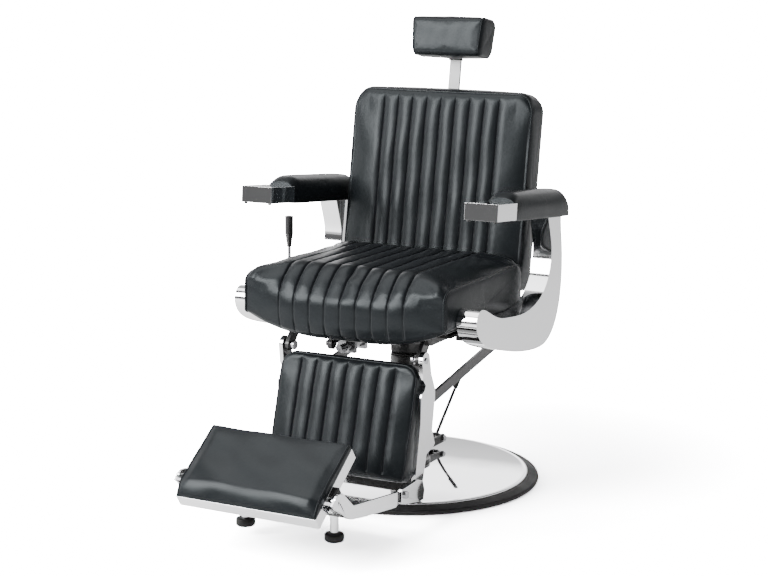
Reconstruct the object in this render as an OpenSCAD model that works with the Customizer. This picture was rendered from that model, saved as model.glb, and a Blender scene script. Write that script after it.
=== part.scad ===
// Hydraulic barber chair with a coupled leg rest, in millimetres.
// Origin: centre of the base on the floor. +Z up, the chair faces -Y, +X is the sitter's left.

/* [Base and pump] */
// Diameter over the rubber rim
base_d = 660; // [640:5:680]
// Width of the rubber rim
rim_w = 28; // [22:1:34]
// Height of the rubber rim
rim_h = 19; // [16:1:22]
// Height of the chrome cover where it meets the column
dome_h = 38; // [34:1:42]
// Outer diameter of the pump column
column_d = 84; // [76:2:90]
// Height of the top of the pump column
column_h = 312; // [308:1:314]
// Diameter of the piston
piston_d = 50; // [46:2:54]

/* [Seat] */
// Width of the seat cushion
seat_w = 524; // [516:2:524]
// Height of the seat top at the lowest setting
seat_h = 560; // [540:5:575]
// Depth of the seat cushion
seat_depth = 433; // [420:1:435]
// Distance between two seams of the seat and the back
channel = 40; // [36:1:42]
// Depth of the sewn channels
channel_deep = 7; // [3:0.5:9]

/* [Back and headrest] */
// Width of the back cushion
back_w = 490; // [460:2:492]
// Length of the back cushion
back_len = 486; // [450:2:500]
// Thickness of the back cushion
back_t = 72; // [66:1:76]
// Lean of the back at rest
back_lean = 9; // [8:0.5:10]
// Width of the headrest
head_w = 202; // [180:1:220]
// Height of the headrest
head_h = 98; // [90:1:110]

/* [Arms] */
// Width over both armrests
arms_w = 668; // [660:2:676]
// Width of one armrest
arm_w = 82; // [78:1:86]
// Thickness of the arm castings
casting_t = 49; // [44:1:49]
// Length of one armrest
arm_len = 450; // [430:2:460]
// Fall of the armrests towards the back
arm_fall = 5; // [4:0.5:6]

/* [Leg rest and footrest] */
// Width of the calf cushion
calf_w = 356; // [340:2:358]
// Length of the calf cushion
calf_len = 270; // [250:2:272]
// Distance between two seams of the calf cushion
calf_channel = 41; // [38:1:43]
// Width of the flip-over footplate
plate_w = 344; // [330:2:346]
// Depth of the flip-over footplate
plate_len = 194; // [180:2:198]
// Height of the footplate's chrome edge
plate_t = 30; // [26:1:31]

/* [Hidden] */
$fn = 64;

base_r = base_d / 2;
rim_in = base_r - rim_w;
column_r = column_d / 2;
piston_r = piston_d / 2;
run = 0.05;        // running clearance of a pin or shaft in its bore
hub_z = 322;       // underside of the swivel hub at the lowest setting
frame_z = 402;     // underside of the seat frame
frame_t = 20;      // height of the seat frame's bars
board_t = 8;       // thickness of the seat board
seat_front = -338; // front face of the seat cushion
seat_z = frame_z + frame_t + board_t;
lip_z = 404;       // lowest point of the lip that hangs in front of the seat frame
lip_back = -285;   // rear face of that lip
bolt_z = frame_z + frame_t / 2;
bolt_y = [-125, 50];

// Linkage: the back turns on A, the leg rest on D, and each link bar joins B on the
// back to C on the leg rest. AB and DC are equal and parallel, so both turn alike.
link_v = [13, -115];
pin_d = [-285, 372];
pin_a = [145, 443];
pin_c = pin_d + link_v;
pin_b = pin_a + link_v;
recline_max = 45;
lock_r = 105;      // radius of the lock pin about A
lock_x = -112;
lock_z = pin_a[1] - lock_r * (1 + cos(recline_max / 2)) / 2;

// Levers
pedal_pin = [172, 56];
pedal_rise = 60.3;
pedal_lean = 9.6;  // lean of the pedal's rod to the sitter's left
pedal_reach = 200;
pedal_x = -1.7;    // foot of the pedal's rod
shaft_yz = [-23, 388];
grip_x = -323.5;

// Back
back_foot = [105, 465];  // front lower corner of the back, in y and z
back_gap = 8;
shell_t = 18;
post_y = 63;
post_t = 8;
post_w = 30;

// Arms
arm_x1 = arms_w / 2;
arm_x0 = arm_x1 - arm_w;
casting_x1 = arm_x1 - 18;
casting_x0 = casting_x1 - casting_t;
arm_front = [-232, 692];
block_len = 111;
block_h = 41;
pad_z = 5;         // height of the pad above the arm's underside

// Leg rest
calf_top = [-304, 365];
calf_lean = 16;
calf_t = 45;
foot_hinge = [-405, 90];   // the footrest folds here
flip_hinge = [-712, 157];  // the footplate turns over here
plate_low = [-768, 132];   // front low edge of the footplate
plate_rise = 35.6;
leg_x = 178.4;     // inner faces of the leg rest's arms
flip_arm = flip_hinge - plate_low;
flip_y = flip_arm[0] * cos(plate_rise) + flip_arm[1] * sin(plate_rise);
flip_z = flip_arm[1] * cos(plate_rise) - flip_arm[0] * sin(plate_rise);
peg_x = 113;
peg_y = -580;

// ---------- shared shapes ----------

// A flat shape drawn in y and z, standing from x0 to x1
module slab(x0, x1) {
    translate([x0, 0, 0]) rotate([90, 0, 90]) linear_extrude(x1 - x0) children();
}

// A round bar along x at the point yz
module bar_x(x0, x1, yz, r) {
    translate([x0, yz[0], yz[1]]) rotate([0, 90, 0]) cylinder(h = x1 - x0, r = r);
}

// A disc at the point yz, for outlines
module spot(yz, r) {
    translate(yz) circle(r);
}

// Two discs joined by a straight web
module strut(p, rp, q, rq) {
    hull() {
        spot(p, rp, $fn = 32);
        spot(q, rq, $fn = 32);
    }
}

module both_sides() {
    children();
    mirror([1, 0, 0]) children();
}

module back_place() {
    translate([0, back_foot[0], back_foot[1]]) rotate([-back_lean, 0, 0]) children();
}

module calf_place() {
    translate([0, calf_top[0], calf_top[1]]) rotate([-calf_lean, 0, 0]) children();
}

module arm_place() {
    translate([0, arm_front[0], arm_front[1]]) rotate([-arm_fall, 0, 0]) children();
}

module plate_place() {
    translate([0, plate_low[0], plate_low[1]]) rotate([plate_rise, 0, 0]) children();
}

// Underside of the armrest at y
function arm_under(y) = arm_front[1] - (y - arm_front[0]) * tan(arm_fall);

// Points of a cubic curve from a to d, without its last point
function curve(a, b, c, d, n) = [for (i = [0 : n - 1]) let (t = i / n, u = 1 - t)
    u * u * u * a + 3 * u * u * t * b + 3 * u * t * t * c + t * t * t * d];

// A quarter arc from angle a0
function quarter(cy, cz, r, a0, n) = [for (i = [0 : n])
    [cy + r * cos(a0 + 90 * i / n), cz + r * sin(a0 + 90 * i / n)]];

// Outline of a cushion in y and z: four round corners, with a swollen top and front
function outline(y0, y1, z0, z1, r, front, top) = concat(
    quarter(y1 - r, z1 - r, r, 0, 4),
    [for (k = [1 : 3]) [y1 - r + (y0 - y1 + 2 * r) * k / 4, z1 + top * sin(45 * k)]],
    quarter(y0 + r, z1 - r, r, 90, 4),
    [for (k = [1 : 3]) [y0 - front * sin(45 * k), z1 - r + (z0 - z1 + 2 * r) * k / 4]],
    quarter(y0 + r, z0 + r, r, 180, 3),
    quarter(y1 - r, z0 + r, r, 270, 3));

// Depth of the sewn channels at x, with seams at whole numbers of pitches
function sewn(x, pitch, outer, deep) =
    abs(x) > (outer + 0.5) * pitch ? 0 : deep * pow(abs(cos(180 * x / pitch)), 5);

// How far a round edge of radius r draws in at x, on a pad of half width w
function drawn(x, w, r) = let (s = max(0, (abs(x) - w + r) / r)) r * (1 - sqrt(max(0, 1 - s * s)));

// Stations across a channelled cushion: four to a channel, closer at the edges
function stations(w, pitch, outer) = let (
    inner = [for (i = [-4 * outer - 2 : 4 * outer + 2]) i * pitch / 4],
    edge = [w, w - 2, w - 7, w - 15, w - 32]) concat(
    [for (e = edge) -e],
    inner,
    [for (i = [4 : -1 : 0]) edge[i]]);

// A closed solid through rings of points, each ring a flat loop
module loft(rings) {
    n = len(rings[0]);
    m = len(rings);
    polyhedron(
        points = [for (ring = rings) each ring],
        faces = concat(
            [[for (i = [0 : n - 1]) i]],
            [for (j = [0 : m - 2]) for (i = [0 : n - 1]) [j * n + i, (j + 1) * n + i, j * n + (i + 1) % n]],
            [for (j = [0 : m - 2]) for (i = [0 : n - 1])
                [j * n + (i + 1) % n, (j + 1) * n + i, (j + 1) * n + (i + 1) % n]],
            [[for (i = [n - 1 : -1 : 0]) (m - 1) * n + i]]),
        convexity = 8);
}

// ---------- base and pump ----------

function dome_z(r) = rim_h + 4 + (dome_h - rim_h - 4) * (1 - pow(r / (rim_in - 10), 2));

// Steel plate that gives the base its weight, flush with the rim's lip underneath
module base_plate() {
    color("dimgray") union() {
        cylinder(h = 11, r = rim_in - 14.3);
        translate([0, 0, 2]) cylinder(h = 11, r = rim_in - 1);
    }
}

// Thin chromed cover, a low dome with a rolled edge
module base_cover() {
    color("gainsboro") rotate_extrude($fn = 128) polygon(concat(
        [[46, 14], [46, dome_z(46)]],
        [for (i = [1 : 8]) let (r = 46 + (rim_in - 56) * i / 8) [r, dome_z(r)]],
        [[rim_in - 1, rim_h - 1], [rim_in - 1, 13], [rim_in - 3, 13], [rim_in - 4, rim_h - 3]],
        [for (i = [8 : -1 : 1]) let (r = 48 + (rim_in - 60) * i / 8) [r, dome_z(r) - 2.5]],
        [[48, 14]]));
}

// Rubber rim that grips the plate and stands on the floor
module base_rim() {
    color("#2a2a2b") rotate_extrude($fn = 128) polygon(concat(
        [[rim_in - 14, 0], [base_r - 5, 0]],
        [for (i = [0 : 4]) let (a = -60 + 30 * i) [base_r - 5 + 5 * cos(a), 6 + 6 * sin(a)]],
        [[base_r - 9, 15], [rim_in + 8, rim_h], [rim_in, rim_h - 1], [rim_in, 13], [rim_in, 1.9],
            [rim_in - 14, 1.9]]));
}

// Pump column with its foot flange
module pump_housing() {
    color("#202124") difference() {
        union() {
            translate([0, 0, 13]) cylinder(h = column_h - 13, r = column_r);
            translate([0, 0, dome_h + 1]) cylinder(h = 9, r = 60);
            translate([0, 0, 13]) cylinder(h = dome_h - 12, r = 44);
        }
        translate([0, 0, 24]) cylinder(h = column_h, r = piston_r + 5);
        for (a = [45 : 90 : 315]) rotate([0, 0, a]) translate([51, 0, dome_h]) cylinder(h = 12, r = 4.2);
    }
}

// Guide and seal at the top of the pump column
module pump_gland() {
    color("#101012") difference() {
        union() {
            translate([0, 0, column_h]) cylinder(h = 5, r = column_r - 2);
            translate([0, 0, column_h - 60]) cylinder(h = 60, r = piston_r + 5 - run);
        }
        translate([0, 0, column_h - 70]) cylinder(h = 90, r = piston_r + run);
    }
}

// Four bolts through the foot flange
module flange_bolts() {
    color("silver") for (a = [45 : 90 : 315]) rotate([0, 0, a]) translate([51, 0, dome_h + 10]) {
        cylinder(h = 6, r = 7, $fn = 6);
        translate([0, 0, -9]) cylinder(h = 9, r = 4);
    }
}

// Two cheeks welded to a foot on the column's flange, which carry the pedal's shaft
module pedal_bracket() {
    color("#202124") difference() {
        union() {
            for (x = [-13, 16]) slab(x, x + 5) hull() {
                spot(pedal_pin, 11, $fn = 32);
                translate([column_r + 1.5, dome_h + 10]) square([14, 22]);
            }
            translate([-13, column_r + 1.5, dome_h + 10]) cube([34, 14, 5]);
        }
        bar_x(-40, 40, pedal_pin, 6 + run);
        translate([-20, 0, dome_h - 10]) cube([50, 62, 20]);
    }
}

// Shaft that the pedal rocks on, with a head at one end and a nut at the other
module pedal_shaft() {
    color("dimgray") union() {
        bar_x(-17, 26, pedal_pin, 6);
        bar_x(-17, -13.1, pedal_pin, 9);
        translate([21.1, pedal_pin[0], pedal_pin[1]]) rotate([0, 90, 0]) cylinder(h = 4.9, r = 9, $fn = 6);
    }
}

// Coil spring round the shaft that lifts the pedal
spring_wire = 1;
spring_r = 9;
spring_pitch = 2.7;
spring_turns = 3;
spring_x = 6.6;
function coil(i) = let (a = 45 * i) [spring_x + spring_pitch * i / 8,
    pedal_pin[0] + spring_r * cos(a), pedal_pin[1] + spring_r * sin(a)];
spring_points = [for (i = [0 : 8 * spring_turns]) coil(i)];
spring_near = [for (i = [0 : 8 * spring_turns - 4]) for (j = [i + 4 : 8 * spring_turns])
    norm(spring_points[i] - spring_points[j])];
echo(spring_gap = min(spring_near) - 2 * spring_wire);
module return_spring() {
    color("#3a3a3c") loft([for (i = [0 : 8 * spring_turns]) let (c = coil(i), a = 45 * i)
        [for (k = [0 : 5]) c + spring_wire * [cos(60 * k), sin(60 * k) * cos(a), sin(60 * k) * sin(a)]]]);
}

module pedal_place() {
    translate([pedal_x, pedal_pin[0], pedal_pin[1]]) rotate([pedal_rise - 90, 0, 0])
        rotate([0, pedal_lean, 0]) children();
}

// Foot pedal: hub on the shaft and a straight rod that leans to one side
module pump_pedal() {
    color("#1b1b1d") difference() {
        union() {
            bar_x(-7, 5, pedal_pin, 12);
            pedal_place() cylinder(h = pedal_reach, r = 4);
        }
        bar_x(-40, 40, pedal_pin, 6 + run);
    }
}

// Ribbed rubber sleeve on the pedal's end
module pedal_rubber() {
    color("#141415") pedal_place() rotate_extrude() polygon(concat(
        [[4 + run, pedal_reach - 62]],
        [for (i = [0 : 9]) each [[5.4, pedal_reach - 62 + 6 * i], [6.3, pedal_reach - 60.5 + 6 * i],
            [6.3, pedal_reach - 58 + 6 * i]]],
        [[5.6, pedal_reach + 4], [0, pedal_reach + 5], [0, pedal_reach + 0.2],
            [4 + run, pedal_reach + 0.2]]));
}

// Piston that lifts the chair, with the spigot that the hub turns on
module piston_rod() {
    color("silver") union() {
        translate([0, 0, 60]) cylinder(h = hub_z - 4 - 60, r = piston_r);
        translate([0, 0, hub_z - 4]) cylinder(h = 42, r = 18);
    }
}

module thrust_washer() {
    color("#161617") translate([0, 0, hub_z - 4]) difference() {
        cylinder(h = 3.9, r = 32);
        translate([0, 0, -1]) cylinder(h = 6, r = 18 + run);
    }
}

// ---------- seat frame ----------

// Hub with the plate that is welded to the seat frame
module swivel_hub() {
    color("#1d1d1f") difference() {
        union() {
            translate([0, 0, hub_z]) cylinder(h = frame_z - 8 - hub_z, r = 42);
            translate([-90, -104, frame_z - 8]) cube([180, 150, 8]);
            for (a = [0 : 90 : 270]) rotate([0, 0, a]) rotate([90, 0, 0]) translate([0, 0, -3])
                linear_extrude(6) polygon([[30, frame_z - 8], [78, frame_z - 8], [42, hub_z + 14],
                    [30, hub_z + 14]]);
        }
        translate([0, 0, hub_z - 1]) cylinder(h = 44, r = 18 + run);
    }
}

// Side rail with the lug for the back's hinge
module seat_rail() {
    difference() {
        union() {
            translate([212, -180, frame_z]) cube([26, 280, frame_t]);
            slab(212, 220) hull() {
                spot(pin_a, 18, $fn = 32);
                translate([84, frame_z]) square([16, frame_t]);
            }
        }
        bar_x(205, 225, pin_a, 8 + run);
        for (y = bolt_y) bar_x(205, 245, [y, bolt_z], 5 + run);
    }
}

// Left and right side rails; the right one also has the ear for the release shaft
module seat_rails() {
    color("#1d1d1f") {
        seat_rail();
        difference() {
            union() {
                mirror([1, 0, 0]) seat_rail();
                slab(-218, -212) hull() {
                    spot(shaft_yz, 10, $fn = 32);
                    translate([shaft_yz[0] - 14, frame_z]) square([28, 4]);
                }
            }
            bar_x(-225, -205, shaft_yz, 4.5 + run);
        }
    }
}

// Two short bars ahead of the main cross member, with the hangers for the leg rest
module front_rails() {
    color("#1d1d1f") both_sides() difference() {
        union() {
            translate([166, -262, frame_z]) cube([24, 157, frame_t]);
            slab(166, 176) hull() {
                spot(pin_d, 14, $fn = 32);
                translate([-262, frame_z]) square([24, frame_t]);
            }
        }
        bar_x(160, 180, pin_d, 7 + run);
    }
}

// Main cross member with the hanger of the recline lock
module main_cross_member() {
    hanger = [-122, 345];
    color("#1d1d1f") union() {
        translate([-212, -105, frame_z]) cube([424, 70, frame_t]);
        slab(-152, -140) hull() {
            spot(hanger, 14, $fn = 32);
            translate([-105, frame_z]) square([50, 4]);
        }
        bar_x(-160, -151, hanger, 7);
    }
}

module front_cross_member() {
    color("#1d1d1f") translate([-166, -262, frame_z]) cube([332, 24, frame_t]);
}

module seat_board() {
    color("burlywood") translate([-235, -255, frame_z + frame_t]) cube([470, 339, board_t]);
}

// Height of the seat's front lip at x: it lifts towards the sides
function lip(x) = lip_z + 50 * pow(abs(x) / (seat_w / 2), 3);

// Outline of the seat: soft top edges, a lip at the front and a flat underside behind it
function seat_outline(y0, y1, low, z0, z1, r, swell) = concat(
    quarter(y1 - r, z1 - r, r, 0, 4),
    [for (k = [1 : 3]) [y1 - r + (y0 - y1 + 2 * r) * k / 4, z1 + swell * sin(45 * k)]],
    quarter(y0 + r, z1 - r, r, 90, 4),
    [for (k = [1 : 2]) [y0 - swell * sin(60 * k), z1 - r + (low - z1 + r + 12) * k / 3]],
    quarter(y0 + 12, low + 12, 12, 180, 3),
    [[lip_back - 9, low + 1], [lip_back, low + 8], [lip_back + 5, max(z0, low + 14)]],
    quarter(y1 - 14, z0 + 14, 14, 270, 3));

// Seat cushion: sewn channels run over the top and down the front
module seat_cushion() {
    w = seat_w / 2;
    rear = seat_front + seat_depth;
    color("#232629") loft([for (x = stations(w, channel, 4)) let (
        g = sewn(x, channel, 4, channel_deep),
        e = drawn(x, w, 9),
        swell = 7 * (1 - pow(x / w, 4)))
        [for (p = seat_outline(seat_front + g * 0.7 + e, rear - e, lip(x) + e / 2, seat_z + e / 2,
            seat_h - g - drawn(x, w, 26), 30, swell)) [x, p[0], p[1]]]]);
}

// ---------- arms ----------

// Side outline of an arm casting: a deep hook with a round nose
function hook() = concat(
    curve([204, arm_under(204)], [205, 609], [220, 584], [220, 524], 6),
    curve([220, 524], [220, 424], [180, 346], [85, 346], 12),
    curve([85, 346], [0, 346], [-120, 372], [-211, 401], 8),
    curve([-211, 401], [-256, 415], [-290, 434], [-295, 464], 7),
    curve([-295, 464], [-298, 481], [-286, 499], [-265, 499], 7),
    curve([-265, 499], [-234, 497], [-196, 462], [-126, 456], 8),
    curve([-126, 456], [-81, 451], [-31, 444], [12, 450], 5),
    curve([12, 450], [89, 460], [142, 494], [147, 568], 10),
    curve([147, 568], [149, 594], [134, 619], [120, arm_under(120)], 5),
    [[120, arm_under(120)]]);

// Polished casting that carries an armrest
module arm_frame() {
    difference() {
        slab(casting_x0, casting_x1) polygon(hook());
        for (y = bolt_y) bar_x(casting_x0 - 1, casting_x0 + 22, [y, bolt_z], 5 + run);
    }
}

module arm_frame_left() {
    color("whitesmoke") arm_frame();
}

// The right casting also has the bore of the release shaft
module arm_frame_right() {
    color("whitesmoke") difference() {
        mirror([1, 0, 0]) arm_frame();
        bar_x(-casting_x1 - 1, 1 - casting_x0, shaft_yz, 4.5 + run);
    }
}

// Tubes between the seat frame and the castings, and the black collars at their noses
module arm_spacers() {
    color("#161617") both_sides() {
        for (y = bolt_y) difference() {
            bar_x(238, casting_x0, [y, bolt_z], 9);
            bar_x(237, casting_x0 + 1, [y, bolt_z], 5 + run);
        }
        bar_x(seat_w / 2 + 0.4, casting_x0, [-262, 466], 24);
    }
}

// Bolts from inside the frame into the castings
module arm_bolts() {
    color("silver") both_sides() for (y = bolt_y) {
        bar_x(208, casting_x0 + 20, [y, bolt_z], 5);
        bar_x(204, 211.9, [y, bolt_z], 8);
    }
}

// Chrome block at the front of an armrest and the bar that runs on under the pad
module arm_block() {
    color("whitesmoke") arm_place() union() {
        translate([arm_x0, 0, 2]) cube([arm_w, block_len, block_h - 2]);
        translate([arm_x0 + 5, block_len - 1, 0]) cube([arm_w - 10, arm_len - block_len - 5, pad_z]);
    }
}

module arm_block_left() {
    arm_block();
}

module arm_block_right() {
    mirror([1, 0, 0]) arm_block();
}

// Screw heads under the blocks' front corners
module block_screws() {
    color("#1d1d1f") both_sides() arm_place() for (x = [arm_x0 + 8, arm_x1 - 8])
        translate([x, 8, -2]) cylinder(h = 4, r = 4);
}

// Cross outline of an arm pad: flat below, upright sides and a domed top
function arm_section(w, h, side) = concat(
    [[-w, pad_z + 2], [-w + 3, pad_z], [-w / 2, pad_z], [w / 2, pad_z], [w - 3, pad_z], [w, pad_z + 2]],
    [for (i = [0 : 12]) [w * cos(15 * i), side + (h - side) * sin(15 * i)]]);

// Padded armrest: rises behind the block and rounds over an upright wall at the rear
module arm_pad() {
    len_pad = arm_len - block_len;
    ramp = 38;
    round_r = 36;
    steps = [0, 8, 17, 27, ramp, 60, 120, 190, 250, 285, len_pad - round_r, 312, 321, 328, 333, 337, len_pad];
    color("#232629") arm_place() translate([arm_x0 + arm_w / 2, block_len + 0.2, 0]) rotate([0, 0, 90])
        loft([for (s = steps) let (
            fall = s < ramp ? 14 * pow(1 - s / ramp, 2) : drawn(s - len_pad / 2, len_pad / 2, round_r),
            h = 65 - fall,
            e = s < ramp ? 0 : drawn(s - len_pad / 2, len_pad / 2, 8))
            [for (p = arm_section(arm_w / 2 - e * 0.7, h, min(34, h - 4))) [s, p[0], p[1]]]]);
}

module arm_pad_left() {
    arm_pad();
}

module arm_pad_right() {
    mirror([1, 0, 0]) arm_pad();
}

// ---------- hinge pins, recline lock and release lever ----------

// Pins of the back's hinge and of the leg rest's hinge
module hinge_pins() {
    color("silver") both_sides() {
        bar_x(198, 222, pin_a, 8);
        bar_x(222, 227, pin_a, 12);
        bar_x(158, 191, pin_d, 7);
        bar_x(154, 159, pin_d, 11);
    }
}

// Hydraulic recline lock clamped under the seat frame
module lock_cylinder() {
    color("silver") difference() {
        union() {
            translate([lock_x, -130, lock_z]) rotate([-90, 0, 0]) cylinder(h = 190, r = 16);
            translate([lock_x, 52, lock_z]) rotate([-90, 0, 0]) cylinder(h = 12, r = 18);
            translate([lock_x, -150, lock_z]) rotate([-90, 0, 0]) cylinder(h = 21, r = 8);
            for (y = [-104, -48]) translate([-140, y, lock_z - 20]) cube([48, 12, frame_z - lock_z + 20]);
        }
        translate([lock_x, -60, lock_z]) rotate([-90, 0, 0]) cylinder(h = 140, r = 6 + run);
    }
}

// Sliding rod of the lock; its slotted eye takes the pin on the back frame
module lock_rod() {
    eye_y = pin_a[0] + lock_r * sin(recline_max / 2);
    color("gainsboro") difference() {
        union() {
            translate([lock_x, 30, lock_z]) rotate([-90, 0, 0]) cylinder(h = eye_y - 40, r = 6);
            slab(lock_x - 5, lock_x + 5) hull() {
                spot([eye_y, lock_z + 5], 13, $fn = 32);
                spot([eye_y, lock_z - 5], 13, $fn = 32);
            }
        }
        bar_x(lock_x - 9, lock_x + 9, [eye_y, lock_z + 4.4], 5.9);
        bar_x(lock_x - 9, lock_x + 9, [eye_y, lock_z - 4.4], 5.9);
        translate([lock_x - 9, eye_y - 5.9, lock_z - 4.4]) cube([18, 11.8, 8.8]);
    }
}

// Release shaft from the lock out through the right casting, with the hand lever on its end
module release_lever() {
    color("gainsboro") union() {
        bar_x(grip_x - 4, -92, shaft_yz, 4.5);
        bar_x(grip_x - 4.5, grip_x + 5, shaft_yz, 9);
        translate([grip_x, shaft_yz[0], shaft_yz[1]]) cylinder(h = 196, r = 4.4);
        bar_x(-211.8, -205, shaft_yz, 7);
        slab(-98, -92) strut(shaft_yz, 8, [shaft_yz[0] - 5, shaft_yz[1] - 20], 4);
    }
}

// Grip of the hand lever: a cylinder on a ribbed cone
module lever_grip() {
    color("#26282b") translate([grip_x, shaft_yz[0], shaft_yz[1]]) difference() {
        rotate_extrude() polygon(concat(
            [[0, 168], [5.2, 168]],
            [for (i = [0 : 5]) each [[5.6 + 0.8 * i, 169 + 5 * i], [5.6 + 0.8 * i, 172 + 5 * i]]],
            [[10.3, 199], [10.3, 244.8], [9.3, 246], [0, 246]]));
        translate([0, 0, 160]) cylinder(h = 36.4, r = 4.4 + run);
    }
}

// ---------- back and headrest ----------

// Hinge arms, torque tube and lock lug of the back, in one weldment
module back_frame() {
    lock_pin = pin_a + lock_r * [sin(recline_max / 2), -cos(recline_max / 2)];
    color("#1d1d1f") difference() {
        union() {
            both_sides() slab(200, 208) {
                strut(pin_a, 18, pin_b, 14);
                strut(pin_a, 18, [181, 453], 13);
            }
            both_sides() back_place() translate([200, back_t + 2, -8]) cube([8, 12, 206]);
            bar_x(-200, 200, pin_a, 14);
            both_sides() bar_x(163, 201, pin_b, 6);
            slab(lock_x + 7, lock_x + 15) strut(pin_a, 16, lock_pin, 12);
            slab(lock_x - 15, lock_x - 7) strut(pin_a, 16, lock_pin, 12);
            bar_x(lock_x - 15, lock_x + 15, lock_pin, 5);
        }
        both_sides() bar_x(190, 210, pin_a, 8 + run);
    }
}

// Half of the back's outline, for the shell behind the cushion
module back_outline(inset) {
    w = back_w / 2 - inset;
    top = back_gap + back_len - inset;
    polygon(concat(
        [[-w, back_gap + 20], [-w + 20, back_gap + inset], [w - 20, back_gap + inset], [w, back_gap + 20]],
        quarter(w - 45, top - 45, 45, 0, 8),
        quarter(-w + 45, top - 45, 45, 90, 8)));
}

// Upholstered rear shell of the back
module back_shell() {
    color("#202225") back_place() difference() {
        hull() {
            translate([0, back_t + shell_t - 10, 0]) rotate([90, 0, 0])
                linear_extrude(8 - 0.2) back_outline(2);
            translate([0, back_t + shell_t, 0]) rotate([90, 0, 0]) linear_extrude(2) back_outline(9);
        }
        both_sides() translate([198, back_t, back_gap - 30]) cube([12, 14.4, 230]);
        translate([-24, back_t - 1, 300]) cube([48, 12, 240]);
    }
}

// Back cushion: nine seams, round upper corners
module back_cushion() {
    w = back_w / 2;
    top = back_gap + back_len;
    color("#232629") back_place() difference() {
        loft([for (x = stations(w, channel, 4)) let (
            g = sewn(x, channel, 4, channel_deep),
            e = drawn(x, w, 13),
            swell = 6 * (1 - pow(x / w, 4)))
            [for (p = outline(g + e, back_t, back_gap + drawn(x, w, 18), top - drawn(x, w, 45) - e / 6,
                26 - e, swell, 0)) [x, p[0], p[1]]]]);
        translate([-24, back_t - 13, 300]) cube([48, 20, 240]);
    }
}

// Steel sleeve that holds the headrest post
module headrest_socket() {
    color("#2c2c2e") back_place() difference() {
        translate([-22, back_t - 12, 301]) cube([44, 22, back_gap + back_len - 306]);
        translate([-post_w / 2 - run, post_y - run, 290]) cube([post_w + 2 * run, post_t + 2 * run, 240]);
    }
}

module headrest_post() {
    color("silver") back_place() translate([-post_w / 2, post_y, 306]) cube([post_w, post_t, 290]);
}

// Headrest: tapers towards its lower edge
head_z = 576;
module headrest_cushion() {
    w = head_w / 2;
    steps = [w, w - 1, w - 4, w - 10, w - 22, w * 0.5];
    color("#232629") back_place() difference() {
        loft([for (x = concat([for (s = steps) -s], [0], [for (i = [5 : -1 : 0]) steps[i]])) let (
            e = drawn(x, w, 16),
            swell = 1 - pow(x / w, 2))
            [for (p = outline(4 + e - 2 * swell, 77 - e / 3, head_z + e / 2 - 2 * swell,
                head_z + head_h - e / 2 - 2, 14 - e / 3, 5 * swell, 4 * swell))
                [x * (1 - 0.08 * (head_z + head_h - p[1]) / head_h), p[0], p[1]]]]);
        translate([-post_w / 2 - run, post_y - run, head_z - 10])
            cube([post_w + 2 * run, post_t + 2 * run, 42]);
    }
}

// Oval collar where the post enters the headrest
module headrest_collar() {
    color("black") back_place() difference() {
        translate([0, post_y + post_t / 2, head_z - 5]) linear_extrude(3) scale([1, 0.55]) circle(20);
        translate([-post_w / 2 - run, post_y - run, head_z - 10])
            cube([post_w + 2 * run, post_t + 2 * run, 20]);
    }
}

// ---------- leg rest ----------

// Leg rest arm: one flat plate, wider below its hinge, with a stud for the link bar
module legrest_arm() {
    color("gainsboro") difference() {
        union() {
            slab(leg_x, leg_x + 10) union() {
                spot(pin_d, 20);
                polygon([[-305, 374], [-300, 330], [-285, 314], [-292, 304], [-305, 297], [-309, 288],
                    [-311, 229], [-337, 92], [-327, 55], [-309, 52], [-300, 77], [-277, 151],
                    [-240, 160], [-234, 166], [-249, 202], [-236, 276], [-236, 296], [-256, 336],
                    [-265, 374]]);
            }
            bar_x(164, leg_x + 1, pin_c, 6);
        }
        bar_x(170, 200, pin_d, 7 + run);
    }
}

module legrest_arm_left() {
    legrest_arm();
}

module legrest_arm_right() {
    mirror([1, 0, 0]) legrest_arm();
}

// Cross bars that join the two arms behind the calf cushion
module legrest_bars() {
    color("gainsboro") calf_place() {
        translate([-leg_x, calf_t + 9, -40]) cube([2 * leg_x, 8, 26]);
        translate([-leg_x, calf_t, -291]) cube([2 * leg_x, 8, 26]);
    }
}

module calf_board() {
    color("#1d1d1f") calf_place() translate([-160, calf_t, -236]) cube([320, 9, 220]);
}

module calf_cushion() {
    w = calf_w / 2;
    color("#232629") calf_place() loft([for (x = stations(w, calf_channel, 3)) let (
        g = sewn(x, calf_channel, 3, channel_deep - 1),
        e = drawn(x, w, 12),
        swell = 5 * (1 - pow(x / w, 4)))
        [for (p = outline(g + e, calf_t - 0.2 - e / 3, -calf_len + drawn(x, w, 14), -drawn(x, w, 36) - e / 6,
            18 - e, swell, 0)) [x, p[0], p[1]]]]);
}

// Blocks outside the arms' feet that the footrest folds on
module footrest_hinges() {
    color("gainsboro") both_sides() difference() {
        slab(leg_x + 10.1, leg_x + 20) polygon([[-424, 76], [-418, 72], [-335, 54], [-312, 54], [-306, 76],
            [-316, 100], [-340, 108], [-418, 106], [-424, 102]]);
        bar_x(175, 210, foot_hinge, 6 + run);
    }
}

// Flat link bars between the back and the leg rest
module link_bars() {
    color("#4a4a4c") both_sides() difference() {
        slab(166, 173.5) strut(pin_b, 14, pin_c, 12);
        bar_x(160, 180, pin_c, 6 + run);
        bar_x(160, 180, pin_b, 6.4);
    }
}

// ---------- footrest ----------

// Side plate of the footrest with the ear for the footplate's pivot
module footrest_side() {
    color("whitesmoke") difference() {
        slab(190, 196) union() {
            polygon([[-439, 105], [-646, 133], [-694, 173], [-712, 175], [-741, 158], [-675, 112],
                [-654, 104], [-606, 95], [-448, 72], [-439, 75]]);
            spot(flip_hinge, 18);
        }
        bar_x(180, 200, flip_hinge, 5 + run);
    }
}

module footrest_side_left() {
    footrest_side();
}

module footrest_side_right() {
    mirror([1, 0, 0]) footrest_side();
}

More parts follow.
